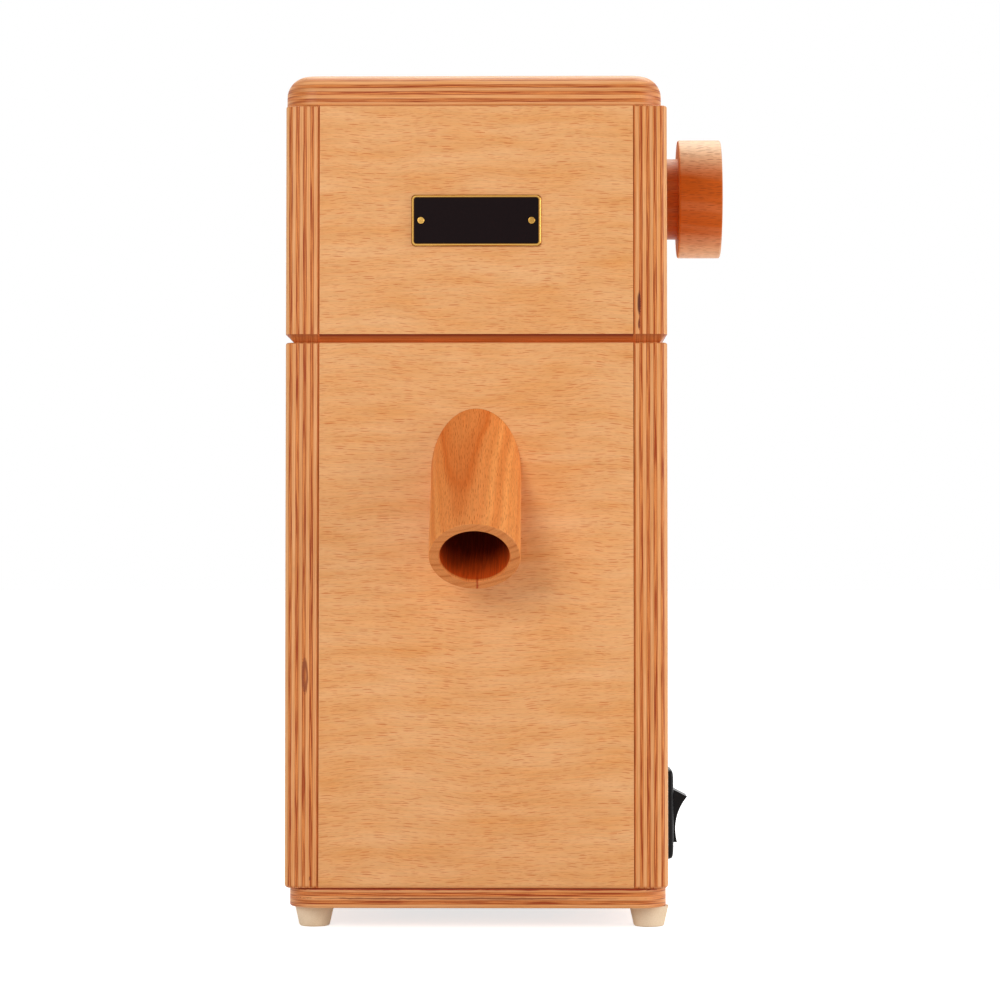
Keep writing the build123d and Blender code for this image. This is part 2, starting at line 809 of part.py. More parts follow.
def yoke():
    """Ring on the carrier with an arm and an upright strip whose end the cam presses on."""
    low = carrier_top
    high = carrier_top + yoke_thickness
    half = yoke_width / 2
    piece = rod(yoke_ring_radius, (low, high), 0, shaft_y)
    piece += block((yoke_ring_bore, cam_x), (shaft_y - half, shaft_y + half), (low, high))
    pad = knob_z - cam_radius - cam_clearance
    piece += block((cam_inner_x, cam_x), (shaft_y - half, shaft_y + half), (low, pad))
    rib = [(cam_inner_x - yoke_rib_rise, high), (cam_inner_x, high), (cam_inner_x, high + yoke_rib_rise)]
    piece += extruded_xz(rib, (shaft_y - yoke_rib / 2, shaft_y + yoke_rib / 2))
    piece -= rod(yoke_ring_bore, (low, high), 0, shaft_y)
    screws = []
    for angle in yoke_screw_angles:
        x, y = polar(yoke_screw_circle_radius, angle)
        piece -= countersunk_hole(x, y, high, yoke_thickness + carrier_thickness, up=-1)
        screws.append(countersunk(x, y, high, yoke_thickness + carrier_thickness - hole_gap, up=-1))
    save("pressure_yoke", piece)
    save("yoke_screws", group(screws))


# ------------------------------------------------------------------ hopper
def flat_sided(lower, upper):
    """A solid with flat sides between two outlines that have the same number of corners."""
    faces = [lower, upper]
    for number in range(len(lower)):
        after = (number + 1) % len(lower)
        faces.append([lower[number], lower[after], upper[after], upper[number]])
    return Solid(Shell([Face(Wire.make_polygon(corners)) for corners in faces]))


def sloping_board(quarter, half_long, half_wide, lean_long, lean_wide):
    """A mitred board of the hopper, on one side of the shaft line or, a quarter round, at an end.
    The upper and the lower edge are given as (lower, upper) pairs."""
    rings = []
    for z, long, wide in ((throat_z, half_long[0], half_wide[0]), (rim_z, half_long[1], half_wide[1])):
        back = wide + lean_wide
        side = long + lean_long
        rings.append([(long, -wide, z), (side, -back, z), (side, back, z), (long, wide, z)])
    board = flat_sided(*rings)
    return [Pos(0, shaft_y, 0) * Rot(0, 0, 90 * (quarter + turn)) * board for turn in (0, 2)]


def hopper():
    """Rim board, four sloping boards and the throat ring, down to the upper stone's eye."""
    rise = rim_z - throat_z
    wall_x = board_thickness * math.hypot(mouth_half_x - throat_half, rise) / rise
    wall_y = board_thickness * math.hypot(mouth_half_y - throat_half, rise) / rise
    half_x = (throat_half, mouth_half_x)
    half_y = (throat_half, mouth_half_y)
    rim = inner_board((rim_z, rim_z + rim_thickness))
    mouth_y = (shaft_y - mouth_half_y, shaft_y + mouth_half_y)
    rim -= block((-mouth_half_x, mouth_half_x), mouth_y, (rim_z, rim_z + rim_thickness))
    throat = turned(
        [
            (throat_bore, throat_z - throat_flange - throat_spigot),
            (throat_spigot_radius, throat_z - throat_flange - throat_spigot),
            (throat_spigot_radius, throat_z - throat_flange),
            (throat_flange_radius, throat_z - throat_flange),
            (throat_flange_radius, throat_z),
            (throat_bore, throat_z),
        ],
        0,
        shaft_y,
    )
    save("hopper_side_boards", group(sloping_board(0, half_x, half_y, wall_x, wall_y)))
    save("hopper_end_boards", group(sloping_board(1, half_y, half_x, wall_y, wall_x)))
    save("hopper_rim", rim)
    save("hopper_throat", throat)


def head_posts():
    """Corner posts of the head, which also locate it in the lower box, and their long screws."""
    posts = []
    screws = []
    for x, y in head_post_places:
        half = post_width / 2
        post = block((x - half, x + half), (y - half, y + half), (block_top, rim_z))
        head_z = rim_z - head_screw_recess
        post -= rod(screw_head_radius + hole_gap, (head_z, rim_z), x, y)
        post -= countersunk_hole(x, y, head_z, head_screw_length, up=-1)
        posts.append(post)
        screws.append(countersunk(x, y, head_z, head_screw_length - hole_gap, up=-1))
    save("head_corner_posts", group(posts))
    save("head_screws", group(screws))


# ------------------------------------------------------------------ motor
lower_bell_z = motor_z - bell_plate
fan_top = lower_bell_z - bell_boss - fan_gap
winding_z = motor_z + (motor_height - stator_height) / 2


def bell(plate_z, side):
    """End bell: plate, spigot in the case, bearing boss and shaft hole; side is +1 for the top."""

    def level(distance):
        return plate_z + side * distance

    piece = rod(motor_radius, sorted((level(0), level(bell_plate))), 0, shaft_y)
    inner = motor_radius - motor_wall - seat_gap
    piece += rod(inner, sorted((level(0), level(-bell_spigot))), 0, shaft_y)
    piece -= rod(winding_outer + winding_room, sorted((level(0), level(-bell_spigot))), 0, shaft_y)
    piece += rod(bell_boss_radius, sorted((level(-bell_spigot), level(bell_plate + bell_boss))), 0, shaft_y)
    seat = (level(-bell_spigot), level(-bell_spigot + bearing_width + seat_gap))
    piece -= rod(bearing_radius + seat_gap, sorted(seat), 0, shaft_y)
    piece -= rod(shaft_radius + winding_room, sorted((level(-bell_spigot), level(bell_plate + bell_boss))), 0, shaft_y)
    return piece


def motor():
    """Case, bells, stator and the bearings' outer rings."""
    case = rod(motor_radius, (motor_z, motor_top), 0, shaft_y)
    case -= rod(motor_radius - motor_wall, (motor_z, motor_top), 0, shaft_y)
    top_bell = bell(motor_top, 1)
    for x, y in bolt_places:
        top_bell += rod(bell_foot_radius, (motor_top, deck_z), x, y)
    for x, y in bolt_places:
        top_bell -= rod(bolt_radius + hole_gap, (motor_top, deck_z), x, y)
    lower_bell = bell(motor_z, -1)
    for number in range(bell_vents):
        x, y = polar(bell_vent_circle_radius, 360 * number / bell_vents)
        lower_bell -= rod(bell_vent_radius, (lower_bell_z, motor_z), x, y)
    core = rod(motor_radius - motor_wall - seat_gap, (winding_z, winding_z + stator_height), 0, shaft_y)
    core -= rod(stator_bore, (winding_z, winding_z + stator_height), 0, shaft_y)
    windings = []
    for z in (winding_z - winding_height, winding_z + stator_height):
        ring = rod(winding_outer, (z, z + winding_height), 0, shaft_y)
        ring -= rod(winding_inner, (z, z + winding_height), 0, shaft_y)
        windings.append(ring)
    outer_rings = []
    inner_rings = []
    for z in (motor_z + bell_spigot - bearing_width, motor_top - bell_spigot):
        shield = journal_radius + bearing_ring
        ring = rod(bearing_radius, (z, z + bearing_width), 0, shaft_y)
        ring -= rod(shield + running_gap, (z, z + bearing_width), 0, shaft_y)
        outer_rings.append(ring)
        ring = rod(shield, (z, z + bearing_width), 0, shaft_y)
        ring -= rod(journal_radius + seat_gap, (z, z + bearing_width), 0, shaft_y)
        inner_rings.append(ring)
    save("motor_case", case)
    save("motor_top_bell", top_bell)
    save("motor_bottom_bell", lower_bell)
    save("stator_core", core)
    save("stator_windings", group(windings))
    save("bearing_outer_rings", group(outer_rings))
    save("bearing_inner_rings", group(inner_rings))


def rotor():
    """Shaft, rotor core, fan, sweeper hub and the nut that holds the lower stone."""
    lower_seat = motor_z + bell_spigot
    upper_seat = motor_top - bell_spigot
    hub_z = chamber_floor + hub_lift
    nut_z = runner_top - dish_depth
    boss_top = nut_z - nut_grip
    nut_top = nut_z + nut_flange + nut_height
    shaft = turned(
        [
            (0, fan_top - fan_height),
            (fan_seat_radius, fan_top - fan_height),
            (fan_seat_radius, fan_top),
            (journal_radius, fan_top),
            (journal_radius, lower_seat),
            (shaft_radius, lower_seat),
            (shaft_radius, upper_seat),
            (journal_radius, upper_seat),
            (journal_radius, hub_z),
            (hub_seat_radius, hub_z),
            (hub_seat_radius, boss_top - thread_end),
            (shaft_thread_radius, boss_top - thread_end),
            (shaft_thread_radius, nut_top + thread_end),
            (0, nut_top + thread_end),
        ],
        0,
        shaft_y,
    )
    core = rod(stator_bore - air_gap, (winding_z, winding_z + stator_height), 0, shaft_y)
    core -= rod(shaft_radius + seat_gap, (winding_z, winding_z + stator_height), 0, shaft_y)
    fan = rod(fan_radius, (fan_top - fan_plate, fan_top), 0, shaft_y)
    fan += rod(fan_hub_radius, (fan_top - fan_height, fan_top), 0, shaft_y)
    for number in range(fan_blades):
        blade = block(
            (fan_hub_radius - blade_inset, fan_radius - blade_inset),
            (-blade_thickness / 2, blade_thickness / 2),
            (fan_top - fan_height + blade_inset, fan_top - fan_plate / 2),
        )
        fan += Pos(0, shaft_y, 0) * Rot(0, 0, 360 * number / fan_blades) * blade
    fan -= rod(fan_seat_radius + seat_gap, (fan_top - fan_height, fan_top), 0, shaft_y)
    hub = rod(hub_radius, (hub_z, hub_z + hub_thickness), 0, shaft_y)
    hub += rod(runner_bore, (hub_z, boss_top), 0, shaft_y)
    for turn in (0, 180):
        wing = block(
            (hub_radius - wing_root, wing_reach), (-wing_width / 2, wing_width / 2), (hub_z, hub_z + wing_height)
        )
        wing -= rod(stone_radius + wing_room, (hub_z + hub_thickness, hub_z + wing_height))
        hub += Pos(0, shaft_y, 0) * Rot(0, 0, turn) * wing
    hub -= rod(hub_seat_radius + seat_gap, (hub_z, boss_top), 0, shaft_y)
    nut = rod(nut_land - nut_room, (nut_z, nut_z + nut_flange), 0, shaft_y)
    hexagon = RegularPolygon(nut_across_flats / 2, 6, major_radius=False)
    nut += Pos(0, shaft_y, nut_z + nut_flange) * extrude(hexagon, amount=nut_height)
    nut -= rod(shaft_thread_radius + seat_gap, (nut_z, nut_top), 0, shaft_y)
    save("motor_shaft", shaft)
    save("rotor_core", core)
    save("cooling_fan", fan)
    save("stone_hub", hub)
    save("stone_nut", nut)


# ------------------------------------------------------------------ base compartment and small parts
def capacitor():
    """Round motor capacitor standing on the base plate, with its two tabs."""
    top = body_z + capacitor_height
    capacitor_x = -(inner_x - capacitor_margin_x)
    capacitor_y = inner_y - capacitor_margin_y
    can = rod(capacitor_radius, (body_z, top), capacitor_x, capacitor_y)
    for side in (-1, 1):
        x = capacitor_x + side * capacitor_radius / 2
        can += block(
            (x - tab_thickness / 2, x + tab_thickness / 2),
            (capacitor_y - tab_width / 2, capacitor_y + tab_width / 2),
            (top, top + capacitor_tab),
        )
    save("capacitor", can)


def switch():
    """Bezel and housing in the right panel, the rocker on its trunnions and the tabs behind."""
    side = body_width / 2
    outer = side + bezel_thickness
    wide = bezel_height / 2
    narrow = wide - bezel_slope
    rim = [(side, -wide), (outer, -narrow), (outer, narrow), (side, wide)]
    bezel = extruded_xz(
        [(x, switch_z + z) for x, z in rim], (shaft_y - bezel_width / 2, shaft_y + bezel_width / 2)
    )
    ends = bezel.faces().sort_by(Axis.Z)
    corners = [edge for end in (ends[0], ends[-1]) for edge in end.edges() if abs((edge % 0.5).Y) < 0.5]
    bezel = fillet(corners, bezel_corner)
    bezel = chamfer(bezel.faces().sort_by(Axis.X)[-1].edges(), bezel_ease)
    housing = bezel + block(
        (side - switch_depth, side),
        (shaft_y - switch_body_width / 2, shaft_y + switch_body_width / 2),
        (switch_z - switch_body_height / 2, switch_z + switch_body_height / 2),
    )
    housing -= block(
        (side - window_depth, outer),
        (shaft_y - window_half_y, shaft_y + window_half_y),
        (switch_z - window_half_z, switch_z + window_half_z),
    )
    pivot_x = side - rocker_pivot_in
    half = rocker_width / 2 + trunnion_length
    y = (shaft_y - half - running_gap, shaft_y + half + running_gap)
    housing -= rod_y(trunnion_radius + running_gap, pivot_x, y, switch_z)

    tip_low = (rocker_tip_out, -rocker_tip_half)
    tip_high = (rocker_tip_out, rocker_tip_half)
    hollow = ThreePointArc(tip_low, (rocker_dish_out, 0), tip_high)
    shell = Polyline(
        tip_high,
        (rocker_foot_out, rocker_foot_half),
        (-rocker_root_in, rocker_root_half),
        (-rocker_root_in, -rocker_root_half),
        (rocker_foot_out, -rocker_foot_half),
        tip_low,
    )
    profile = make_face((hollow + shell).edges())
    rocker = extrude(Plane.XZ * profile, amount=rocker_width / 2, both=True)
    rocker += Rot(90, 0, 0) * Cylinder(trunnion_radius, 2 * half)
    rocker = Pos(pivot_x, shaft_y, switch_z) * Rot(0, rocker_tilt, 0) * rocker

    tabs = []
    for number in (-1, 0, 1):
        z = switch_z + number * tab_pitch
        tabs.append(
            block(
                (side - switch_depth - tab_length, side - switch_depth),
                (shaft_y - tab_width / 2, shaft_y + tab_width / 2),
                (z - tab_thickness / 2, z + tab_thickness / 2),
            )
        )
    save("switch_housing", housing)
    save("switch_rocker", rocker)
    save("switch_terminals", group(tabs))


def cord_bush():
    """Flanged bush low in the rear panel for the mains cord."""
    back = body_depth / 2
    bush = rod_y(cord_bush_radius, cord_bush_x, (inner_y, back), cord_bush_z)
    bush += rod_y(cord_bush_flange_radius, cord_bush_x, (back, back + cord_bush_flange), cord_bush_z)
    bush -= rod_y(cord_bush_bore, cord_bush_x, (inner_y, back + cord_bush_flange), cord_bush_z)
    save("cord_bush", bush)


def name_plate():
    """Bevelled plate with a shallow sunk field and its two round-headed screws."""
    face = front_y - plate_thickness
    half_x = plate_width / 2
    half_z = plate_height / 2
    plate = block((-half_x, half_x), (face, front_y), (plate_z - half_z, plate_z + half_z))
    plate = fillet(plate.edges().filter_by(Axis.Y), plate_corner)
    plate = chamfer(plate.faces().sort_by(Axis.Y)[0].edges(), plate_bevel)
    field_x = half_x - plate_rim
    field_z = half_z - plate_rim
    field_y = (face, face + plate_field_depth)
    plate -= block((-field_x, field_x), field_y, (plate_z - field_z, plate_z + field_z))
    screws = []
    for side in (-1, 1):
        x = side * plate_screw_x
        seat = face + plate_field_depth
        plate -= rod_y(plate_screw_radius + hole_gap, x, (face, front_y), plate_z)
        head = rod_y(plate_screw_head, x, (seat - plate_screw_head_height, seat), plate_z)
        head = fillet(head.edges().filter_by(GeomType.CIRCLE).group_by(Axis.Y)[0], plate_screw_head_height / 2)
        tip = front_y + plate_screw_length - hole_gap
        screws.append(head + rod_y(plate_screw_radius, x, (seat, tip), plate_z))
    save("name_plate", plate)
    save("name_plate_screws", group(screws))


os.makedirs("parts", exist_ok=True)
casing()
base()
lid()
spout()
deck()
chamber()
stones()
carrier()
knob()
yoke()
hopper()
head_posts()
motor()
rotor()
capacitor()
switch()
cord_bush()
name_plate()
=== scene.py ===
"""Looks of an electric grain mill in a beech casing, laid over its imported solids."""
import math

import bpy
import numpy as np
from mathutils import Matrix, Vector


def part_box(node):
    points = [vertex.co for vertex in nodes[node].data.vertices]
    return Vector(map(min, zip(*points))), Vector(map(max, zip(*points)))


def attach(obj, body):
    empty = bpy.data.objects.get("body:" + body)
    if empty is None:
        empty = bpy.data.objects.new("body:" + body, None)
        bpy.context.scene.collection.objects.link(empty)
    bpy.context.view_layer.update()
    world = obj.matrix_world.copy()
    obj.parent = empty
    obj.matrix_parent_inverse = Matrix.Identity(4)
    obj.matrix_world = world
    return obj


MM = 0.001
X, Y, Z = 0, 1, 2

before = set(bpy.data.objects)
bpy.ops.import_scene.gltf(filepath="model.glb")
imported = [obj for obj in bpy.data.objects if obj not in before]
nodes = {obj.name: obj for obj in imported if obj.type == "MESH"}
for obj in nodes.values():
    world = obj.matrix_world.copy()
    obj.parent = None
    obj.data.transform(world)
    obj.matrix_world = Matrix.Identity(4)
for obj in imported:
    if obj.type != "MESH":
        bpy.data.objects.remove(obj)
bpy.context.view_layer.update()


# ------------------------------------------------------------------ camera
def look(angle_left, angle_up):
    """Turns of a camera that looks along +Y, then to the left and up by the given degrees."""
    return math.radians(90 + angle_up), 0.0, math.radians(angle_left)


camera = bpy.data.objects.new("camera", bpy.data.cameras.new("camera"))
camera.location = (11.0 * MM, -1266.0 * MM, 140.2 * MM)
camera.rotation_euler = look(0.65, 2.10)
camera.data.lens = 114.85
camera.data.shift_y = -0.06
camera.data.sensor_width = 36.0
camera.data.clip_end = 100.0
bpy.context.scene.collection.objects.link(camera)
bpy.context.scene.camera = camera


# ------------------------------------------------------------------ small helpers
def linear(code):
    """The linear values of a colour that is written as an sRGB hex code."""
    parts = np.array([int(code[i:i + 2], 16) for i in (0, 2, 4)]) / 255
    values = np.where(parts <= 0.04045, parts / 12.92, ((parts + 0.055) / 1.055) ** 2.4)
    return (*values.tolist(), 1.0)


def put(tree, kind, sockets=None, out=None, **settings):
    """Adds a shader node with its settings, fills or links its sockets by name or number, and
    gives back one of its outputs, the first if none is named."""
    made = tree.nodes.new("ShaderNode" + kind)
    for name, value in settings.items():
        setattr(made, name, value)
    live = [socket for socket in made.inputs if socket.enabled]
    for name, value in (sockets or {}).items():
        socket = live[name] if isinstance(name, int) else next(s for s in live if s.name == name)
        if isinstance(value, bpy.types.NodeSocket):
            tree.links.new(value, socket)
        else:
            socket.default_value = value
    if out is not None:
        return made.outputs[out]
    return next((socket for socket in made.outputs if socket.enabled), None)


def calc(tree, operation, *values, clamp=False):
    """A number worked out from one to three others, held within 0 and 1 if clamped."""
    return put(tree, "Math", dict(enumerate(values)), operation=operation, use_clamp=clamp)


def vector(tree, operation, *values, out=None):
    """A vector, or the named output, worked out from one to three others."""
    return put(tree, "VectorMath", dict(enumerate(values)), out, operation=operation)


def ramp(tree, value, low, high, first=0.0, last=1.0, smooth=False):
    """A number that goes from first to last while the value goes from low to high."""
    sockets = {"Value": value, "From Min": low, "From Max": high, "To Min": first, "To Max": last}
    return put(tree, "MapRange", sockets, interpolation_type="SMOOTHSTEP" if smooth else "LINEAR")


def blend(tree, factor, first, second):
    """A mix of two colours, each a socket or an sRGB hex code."""
    tones = [linear(tone) if isinstance(tone, str) else tone for tone in (first, second)]
    return put(tree, "Mix", {"Factor": factor, "A": tones[0], "B": tones[1]}, data_type="RGBA")


def noise(tree, where, size, detail, out=None):
    """Noise with blots of the given size in metres, or of size 1 where the place is stretched."""
    return put(tree, "TexNoise", {"Vector": where, "Scale": 1 / size, "Detail": detail}, out)


def axes_of(tree, place):
    """The three parts of a vector, by X, Y and Z."""
    return put(tree, "SeparateXYZ", {"Vector": place}).node.outputs


def fresh(name, **finish):
    """A new material with the shader's own values set, its tree, and the shader."""
    material = bpy.data.materials.new(name)
    material.use_nodes = True
    tree = material.node_tree
    shader = tree.nodes["Principled BSDF"]
    for socket, value in finish.items():
        shader.inputs[socket.replace("_", " ")].default_value = value
    return material, tree, shader


def wire_up(tree, shader, colour, roughness, relief, strength, depth):
    """Gives the shader its colour, its roughness and a relief of a depth in metres."""
    bump = put(tree, "Bump", {"Height": relief, "Strength": strength, "Distance": depth})
    tree.links.new(colour, shader.inputs["Base Color"])
    tree.links.new(roughness, shader.inputs["Roughness"])
    tree.links.new(bump, shader.inputs["Normal"])


def seen_rays(tree):
    """1 for rays from the camera, from gloss and through glass, and 0 for all others."""
    path = put(tree, "LightPath").node.outputs
    seen = calc(tree, "MAXIMUM", path["Is Camera Ray"], path["Is Glossy Ray"])
    return calc(tree, "MAXIMUM", seen, path["Is Transmission Ray"])


def middle_of(name):
    """The middle of a CAD node's box."""
    low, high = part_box(name)
    return tuple((low + high) / 2)


# ------------------------------------------------------------------ wood
def flecks(tree, ground, pitch, half, sizes, strengths):
    """The rays of beech as separate dashes in a plane whose X runs along the grain.

    One dash lies in each cell of a grid of the given pitch, at a chance place. Its outline is an
    ellipse of the given half length and half width, which sizes makes smaller or larger by
    chance, and strengths makes fainter. All lengths are in metres. Gives 1 in the middle of a
    strong dash and 0 between the dashes."""
    grid = vector(tree, "MULTIPLY", ground, (1 / pitch[0], 1 / pitch[1], 0.0))
    cells = put(tree, "TexVoronoi", {"Vector": grid, "Scale": 1.0},
                voronoi_dimensions="2D").node.outputs
    gap = vector(tree, "SUBTRACT", grid, cells["Position"])
    gap = vector(tree, "MULTIPLY", gap, (pitch[0] / half[0], pitch[1] / half[1], 0.0))
    gap = vector(tree, "LENGTH", gap, out="Value")
    luck = put(tree, "SeparateColor", {"Color": cells["Color"]}).node.outputs
    size = ramp(tree, luck[0], 0.0, 1.0, sizes[0], sizes[1])
    gap = calc(tree, "DIVIDE", gap, size)
    dash = ramp(tree, gap, 0.45, 1.0, 1.0, 0.0, smooth=True)
    strength = ramp(tree, luck[1], 0.0, 1.0, strengths[0], strengths[1])
    return calc(tree, "MULTIPLY", dash, strength)


def beech_plywood(name, board, stack, along, plies, flaws_and_shade=(), outer=-1, eased=0.0, shaded_arris=None):
    """Beech plywood, sanded and oiled: rotary-cut veneers glued crosswise.

    On a face one sees the veneer's tangential cut, with the rays as short fine dashes along the
    grain and soft orange clouds. On an edge the plies take turns: long grain is pale, end grain
    is dark and streaked, and a fine line of glue lies between them. Which ply a point belongs to
    follows from its height in the stack, counted from the outer side, so chamfers and round
    edges show the right plies. Past the last whole ply lies the eased depth, which the joint's
    groove cuts, and whose edge is dark as a cross ply. Where the lower edge is cut to a chamfer,
    painted shade gives its down-facing faces a deeper orange, darkest at the upper arris. A flaw
    is a middle and three radii in metres, a colour and a shape: a spot, or an eye with a clear
    middle; a long spot also serves as a painted shadow."""
    cross = 3 - stack - along
    low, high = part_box(board)
    outside = low[stack] if outer < 0 else high[stack]
    ply = -outer * (high[stack] - low[stack] - eased) / plies
    material, tree, shader = fresh(name, IOR=1.5, Specular_IOR_Level=0.25)
    where = put(tree, "TexCoord", out="Object")

    # the grain wanders by up to 3.5 mm to either side, and the plies by 0.2 mm
    drift = noise(tree, where, 45 * MM, 2.5, out="Color")
    sway = [7 * MM, 7 * MM, 7 * MM]
    sway[stack] = 0.4 * MM
    half = tuple(-value / 2 for value in sway)
    bend = vector(tree, "MULTIPLY_ADD", drift, tuple(sway), half)
    bent = vector(tree, "ADD", where, bend)

    parts = axes_of(tree, bent)
    level = calc(tree, "MULTIPLY_ADD", parts[stack], 1 / ply, -outside / ply)
    floor = calc(tree, "FLOOR", level)
    last = plies if eased else plies - 1
    index = put(tree, "Clamp", {"Value": floor, "Min": 0.0, "Max": float(last)})
    crosswise = calc(tree, "MODULO", index, 2.0)

    # each ply takes its figure from another place of the noise
    chance = put(tree, "TexWhiteNoise", {"W": index}, out="Color", noise_dimensions="1D")
    offset = vector(tree, "SCALE", chance, 40.0)

    def grained(fine, coarse, deep):
        """Coordinates stretched along the ply's own grain, other in each ply."""
        scales = []
        for axis in (along, cross):
            scale = [1 / fine, 1 / fine, 1 / fine]
            scale[axis] = 1 / coarse
            scale[stack] = 1 / deep
            scales.append(tuple(scale))
        scale = put(tree, "Mix", {"Factor": crosswise, "A": scales[0], "B": scales[1]},
                    data_type="VECTOR")
        return vector(tree, "MULTIPLY_ADD", bent, scale, offset)

    normal = put(tree, "NewGeometry", out="Normal")
    facing = axes_of(tree, vector(tree, "ABSOLUTE", normal))

    # rays: dashes 2 to 6.5 mm long, with finer ones between, on the broad faces alone
    ground = put(tree, "CombineXYZ", {"X": parts[along], "Y": parts[cross]})
    dash = flecks(tree, ground, (5.2 * MM, 0.95 * MM), (2.6 * MM, 0.16 * MM), (0.4, 1.25), (0.05, 0.8))
    fine = flecks(tree, ground, (2.7 * MM, 0.6 * MM), (1.2 * MM, 0.12 * MM), (0.5, 1.2), (0.0, 0.45))
    dash = calc(tree, "MAXIMUM", dash, fine)
    flat = ramp(tree, facing[stack], 0.5, 0.9)
    dash = calc(tree, "MULTIPLY", dash, flat)

    # fibres 0.4 mm wide; growth zones lie flat in a rotary-cut veneer
    fibre = noise(tree, grained(0.42 * MM, 9 * MM, 0.42 * MM), 1.0, 2.0)
    zone = noise(tree, grained(7 * MM, 42 * MM, 0.5 * MM), 1.0, 3.0)
    cloud = ramp(tree, zone, 0.3, 0.75)
    face = blend(tree, cloud, "ECB178", "E29A56")
    face = blend(tree, dash, face, "C4560F")

    # edges: end grain in every second ply, with long dark streaks, and pale long grain between
    long_grain = blend(tree, cloud, "EEAE76", "E0924E")
    long_grain = blend(tree, flat, long_grain, face)
    ends = put(tree, "Mix", {"Factor": crosswise, "A": facing[along], "B": facing[cross]},
               data_type="FLOAT")
    ends = ramp(tree, ends, 0.2, 1.0, smooth=True)
    lay = [20 * MM, 20 * MM, 20 * MM]
    lay[stack] = 0.4 * MM
    streak = vector(tree, "MULTIPLY_ADD", bent, tuple(1 / value for value in lay), offset)
    streak = noise(tree, streak, 1.0, 2.0)
    streak = ramp(tree, streak, 0.42, 0.6)
    end_tone = blend(tree, streak, "DC8644", "9C3C08")
    narrow = calc(tree, "MULTIPLY", streak, 0.3)
    narrow = calc(tree, "SUBTRACT", narrow, flat, clamp=True)
    long_grain = blend(tree, narrow, long_grain, "C07434")
    wood = blend(tree, ends, long_grain, end_tone)

    # fine lines of glue, only between plies
    nearest = calc(tree, "ROUND", level)
    nearest = put(tree, "Clamp", {"Value": nearest, "Min": 1.0, "Max": plies - 1.0})
    apart = calc(tree, "SUBTRACT", level, nearest)
    apart = calc(tree, "ABSOLUTE", apart)
    glue = ramp(tree, apart, 0.02, 0.09, 0.45, 0.0)
    wood = blend(tree, glue, wood, "A0480F")

    if eased:
        joint = ramp(tree, level, plies - 0.05, plies + 0.05, 0.0, 0.9)
        joint = calc(tree, "SUBTRACT", joint, flat, clamp=True)
        wood = blend(tree, joint, wood, "DE7A3E")

    if shaded_arris is not None:
        # painted shade on down-facing faces: the chamfer under the head turns a deeper orange, darkest
        # towards its upper arris, and less so on the side panels
        sloping = ramp(tree, axes_of(tree, normal)[Z], -0.5, -0.3, 1.0, 0.0)
        height = axes_of(tree, where)[Z]
        deeper = calc(tree, "MULTIPLY", sloping, 0.25 if eased else 0.7)
        wood = blend(tree, deeper, wood, "EC7A30")
        painted_arris_shade = ramp(tree, height, shaded_arris - 2.3 * MM, shaded_arris - 0.4 * MM, 0.0, 0.5 if eased else 0.95)
        painted_arris_shade = calc(tree, "MULTIPLY", painted_arris_shade, sloping)
        wood = blend(tree, painted_arris_shade, wood, "721A04")

    lift = put(tree, "SeparateColor", {"Color": chance})
    lift = ramp(tree, lift, 0.0, 1.0, 0.96, 1.05)
    tone = ramp(tree, fibre, 0.3, 0.7, 0.94, 1.05)
    tone = calc(tree, "MULTIPLY", tone, lift)
    wood = vector(tree, "SCALE", wood, tone)

    # a flaw's outline is ragged with the fibres, and an eye is a ring round its middle
    for middle, radii, code, shape in flaws_and_shade:
        gap = vector(tree, "SUBTRACT", bent, middle)
        gap = vector(tree, "MULTIPLY", gap, tuple(1 / value for value in radii))
        gap = vector(tree, "LENGTH", gap, out="Value")
        ragged = calc(tree, "MULTIPLY_ADD", fibre, 0.9, gap)
        if shape == "eye":
            ragged = calc(tree, "SUBTRACT", ragged, 1.45)
            ragged = calc(tree, "ABSOLUTE", ragged)
            ragged = calc(tree, "ADD", ragged, 0.85)
        stain = ramp(tree, ragged, 1.0, 1.45, 0.9, 0.0, smooth=True)
        wood = blend(tree, stain, wood, code)

    relief = calc(tree, "MULTIPLY_ADD", dash, -0.15, fibre)
    sheen = ramp(tree, fibre, 0.0, 1.0, 0.36, 0.50)
    wire_up(tree, shader, wood, sheen, relief, 0.3, 0.04 * MM)
    return material


